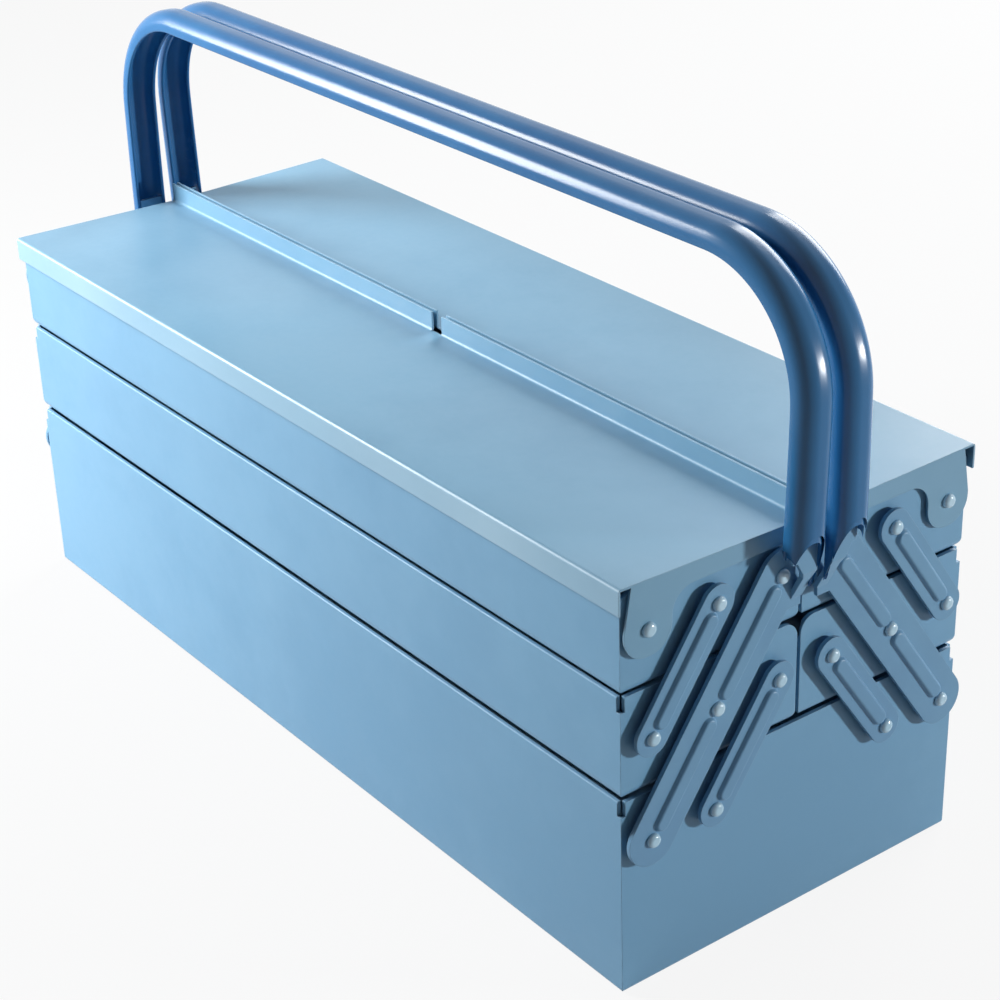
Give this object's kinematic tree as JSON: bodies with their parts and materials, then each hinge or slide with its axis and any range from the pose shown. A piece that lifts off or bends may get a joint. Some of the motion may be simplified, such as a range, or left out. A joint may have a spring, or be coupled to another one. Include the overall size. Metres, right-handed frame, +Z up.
{
  "type": "cantilever tool box",
  "caption": "Long painted sheet-steel tool box whose stacked trays swing out on parallel arms at both ends, with hinged lids and paired bail handles.",
  "frame": {"origin": "centre of the bounding box at the flat underside of the base tray", "axes": "+X along the length towards the right end, +Y across the width towards the rear half, +Z up; the front half is at -Y"},
  "size_m": [0.553, 0.2016, 0.318],
  "materials": {
    "tray_paint": "semi-gloss steel blue",
    "lid_paint": "semi-gloss steel blue",
    "arm_paint": "semi-gloss steel blue",
    "handle_paint": "glossy steel blue",
    "rivet_steel": "satin"
  },
  "bodies": {
    "base": {"base_tray": "tray_paint", "base_rivets": "rivet_steel", "base_spacers": "rivet_steel"},
    "front_linkage": {"front_long_arm_right": "arm_paint", "front_long_arm_left": "arm_paint", "front_handle": "handle_paint"},
    "front_mid": {"front_mid_tray": "tray_paint", "front_mid_rivets": "rivet_steel", "front_mid_spacers": "rivet_steel"},
    "front_top": {"front_top_tray": "tray_paint", "front_top_rivets": "rivet_steel", "front_top_spacers": "rivet_steel", "front_lid_rivets": "rivet_steel", "front_lid_spacers": "rivet_steel"},
    "front_lower_arms": {"front_lower_arm_right": "arm_paint", "front_lower_arm_left": "arm_paint"},
    "front_upper_arms": {"front_upper_arm_right": "arm_paint", "front_upper_arm_left": "arm_paint"},
    "front_cover": {"front_lid": "lid_paint"},
    "rear_linkage": {"rear_long_arm_right": "arm_paint", "rear_long_arm_left": "arm_paint", "rear_handle": "handle_paint"},
    "rear_mid": {"rear_mid_tray": "tray_paint", "rear_mid_rivets": "rivet_steel", "rear_mid_spacers": "rivet_steel"},
    "rear_top": {"rear_top_tray": "tray_paint", "rear_top_rivets": "rivet_steel", "rear_top_spacers": "rivet_steel", "rear_lid_rivets": "rivet_steel", "rear_lid_spacers": "rivet_steel"},
    "rear_lower_arms": {"rear_lower_arm_right": "arm_paint", "rear_lower_arm_left": "arm_paint"},
    "rear_upper_arms": {"rear_upper_arm_right": "arm_paint", "rear_upper_arm_left": "arm_paint"},
    "rear_cover": {"rear_lid": "lid_paint"}
  },
  "joints": [
    {"name": "front_open", "type": "hinge", "parent": "base", "child": "front_linkage", "pos_m": [0, -0.0855, 0.077], "axis": [1, 0, 0], "range_deg": [0, 69.9]},
    {"name": "front_mid_level", "type": "hinge", "parent": "front_linkage", "child": "front_mid", "pos_m": [0, -0.0505, 0.127], "axis": [1, 0, 0], "range_deg": [-69.9, 0]},
    {"name": "front_top_level", "type": "hinge", "parent": "front_linkage", "child": "front_top", "pos_m": [0, -0.0155, 0.177], "axis": [1, 0, 0], "range_deg": [-69.9, 0]},
    {"name": "front_lower_arm_swing", "type": "hinge", "parent": "base", "child": "front_lower_arms", "pos_m": [0, -0.0505, 0.077], "axis": [1, 0, 0], "range_deg": [0, 69.9]},
    {"name": "front_upper_arm_swing", "type": "hinge", "parent": "front_mid", "child": "front_upper_arms", "pos_m": [0, -0.0855, 0.127], "axis": [1, 0, 0], "range_deg": [0, 69.9]},
    {"name": "front_lid_hinge", "type": "hinge", "parent": "front_top", "child": "front_cover", "pos_m": [0, -0.0855, 0.177], "axis": [1, 0, 0], "range_deg": [0, 78]},
    {"name": "rear_open", "type": "hinge", "parent": "base", "child": "rear_linkage", "pos_m": [0, 0.0855, 0.077], "axis": [-1, 0, 0], "range_deg": [0, 69.9]},
    {"name": "rear_mid_level", "type": "hinge", "parent": "rear_linkage", "child": "rear_mid", "pos_m": [0, 0.0505, 0.127], "axis": [-1, 0, 0], "range_deg": [-69.9, 0]},
    {"name": "rear_top_level", "type": "hinge", "parent": "rear_linkage", "child": "rear_top", "pos_m": [0, 0.0155, 0.177], "axis": [-1, 0, 0], "range_deg": [-69.9, 0]},
    {"name": "rear_lower_arm_swing", "type": "hinge", "parent": "base", "child": "rear_lower_arms", "pos_m": [0, 0.0505, 0.077], "axis": [-1, 0, 0], "range_deg": [0, 69.9]},
    {"name": "rear_upper_arm_swing", "type": "hinge", "parent": "rear_mid", "child": "rear_upper_arms", "pos_m": [0, 0.0855, 0.127], "axis": [-1, 0, 0], "range_deg": [0, 69.9]},
    {"name": "rear_lid_hinge", "type": "hinge", "parent": "rear_top", "child": "rear_cover", "pos_m": [0, 0.0855, 0.177], "axis": [-1, 0, 0], "range_deg": [0, 78]}
  ],
  "couplings": [
    {"joint": "front_mid_level", "follows": "front_open", "ratio": -1},
    {"joint": "front_top_level", "follows": "front_open", "ratio": -1},
    {"joint": "front_lower_arm_swing", "follows": "front_open", "ratio": 1},
    {"joint": "front_upper_arm_swing", "follows": "front_open", "ratio": 1},
    {"joint": "rear_mid_level", "follows": "rear_open", "ratio": -1},
    {"joint": "rear_top_level", "follows": "rear_open", "ratio": -1},
    {"joint": "rear_lower_arm_swing", "follows": "rear_open", "ratio": 1},
    {"joint": "rear_upper_arm_swing", "follows": "rear_open", "ratio": 1}
  ]
}
